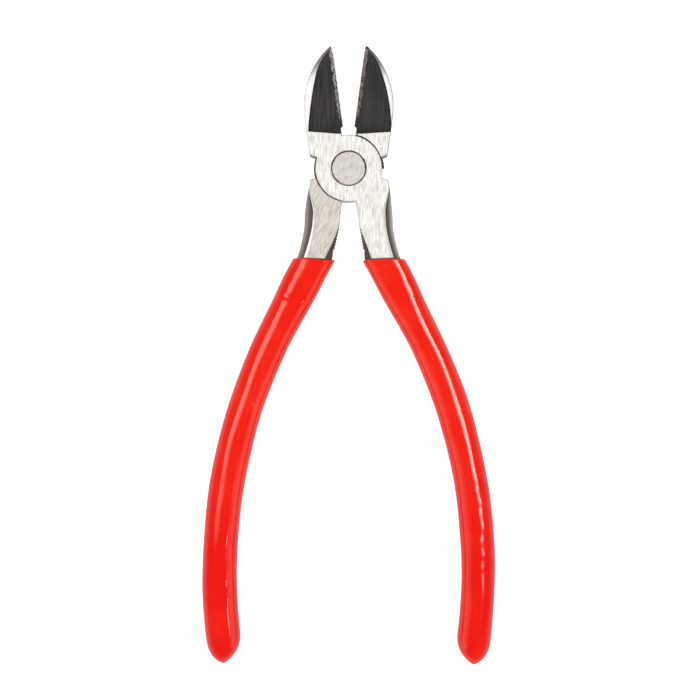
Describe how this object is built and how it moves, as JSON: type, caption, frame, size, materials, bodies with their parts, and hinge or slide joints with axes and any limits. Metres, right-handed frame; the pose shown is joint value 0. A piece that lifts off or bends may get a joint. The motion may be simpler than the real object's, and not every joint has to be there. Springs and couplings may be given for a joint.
{
  "type": "diagonal cutting pliers",
  "caption": "Forged lap-joint diagonal cutting pliers with slender sunk-bevel jaws and bowed, dipped round handles, a little open.",
  "frame": {"origin": "on the pivot axis, in the plane of the back face that the head rests on", "axes": "+X across the tool to the right, +Y towards the jaw tips, +Z along the pivot axis out of the front face"},
  "size_m": [0.0844, 0.1789, 0.01],
  "materials": {
    "forged_steel": "ground flats, black forged bevels and dark forged sides",
    "rivet_steel": "ground flush",
    "dipped_plastic": "glossy red dip"
  },
  "bodies": {
    "front_half": {"front_lever": "forged_steel", "pivot_rivet": "rivet_steel", "front_lever_grip": "dipped_plastic"},
    "back_half": {"back_lever": "forged_steel", "back_lever_grip": "dipped_plastic"}
  },
  "joints": [
    {"name": "pivot", "type": "hinge", "parent": "front_half", "child": "back_half", "pos_m": [0, 0, 0], "axis": [0, 0, 1], "range_deg": [-32, 15]}
  ]
}
